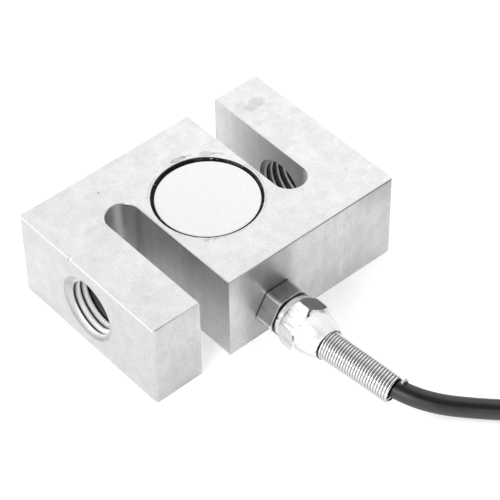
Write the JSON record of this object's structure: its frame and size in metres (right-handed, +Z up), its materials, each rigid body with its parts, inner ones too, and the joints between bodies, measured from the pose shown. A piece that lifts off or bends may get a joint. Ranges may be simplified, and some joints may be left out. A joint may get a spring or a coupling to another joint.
{
  "type": "s type load cell",
  "caption": "S-shaped steel load cell with a threaded hole at each end, round gauge covers, a hexagonal cable gland with a spring strain relief, and a coiled lead with stripped cores.",
  "frame": {"origin": "middle of the block's bottom large face, where it lies on a bench", "axes": "X along the load axis through both threaded holes, +X towards the end whose slot opens at +Y; Y across the block, with the cable gland at -Y; +Z up through the thickness"},
  "size_m": [0.1598, 0.148, 0.0254],
  "materials": {
    "body_steel": "satin nickel plating on alloy steel, faintly mottled",
    "cover_steel": "bright satin plate with a broken edge",
    "sealant": "black sealant, slightly glossy and uneven",
    "gauge_film": "amber film",
    "board": "green glass-fibre board",
    "tinned_metal": "tinned copper",
    "resistor": "lacquered film resistor",
    "gland_steel": "brushed nickel-plated, a little darker than the nut",
    "rubber": "matt black rubber",
    "nut_chrome": "bright plating on turned flats",
    "spring_chrome": "bright round spring wire",
    "cable_sheath": "satin black flexible sheath",
    "sleeve": "black heat-shrunk sleeve",
    "core_red": "red insulation",
    "core_black": "black insulation",
    "core_green": "green insulation",
    "core_white": "white insulation",
    "tie_plastic": "black nylon"
  },
  "bodies": {
    "root": {"body": "body_steel", "top_cover": "cover_steel", "bottom_cover": "cover_steel", "top_sealant": "sealant", "bottom_sealant": "sealant", "top_gauge": "gauge_film", "bottom_gauge": "gauge_film", "terminal_board": "board", "solder_pads": "tinned_metal", "trim_resistors": "resistor", "jumper_ribbon": "gauge_film", "inner_lead_red": "core_red", "inner_lead_black": "core_black", "inner_lead_green": "core_green", "inner_lead_white": "core_white", "gland_body": "gland_steel", "gland_seal": "rubber", "gland_grommet": "rubber", "gland_washer": "gland_steel", "gland_cap_nut": "nut_chrome", "strain_relief_spring": "spring_chrome", "cable_inner_end": "cable_sheath", "cable": "cable_sheath", "cable_coil": "cable_sheath", "end_sleeve": "sleeve", "core_red": "core_red", "core_black": "core_black", "core_green": "core_green", "core_white": "core_white", "core_drain": "tinned_metal", "core_tips": "tinned_metal", "coil_tie": "tie_plastic"}
  },
  "joints": []
}
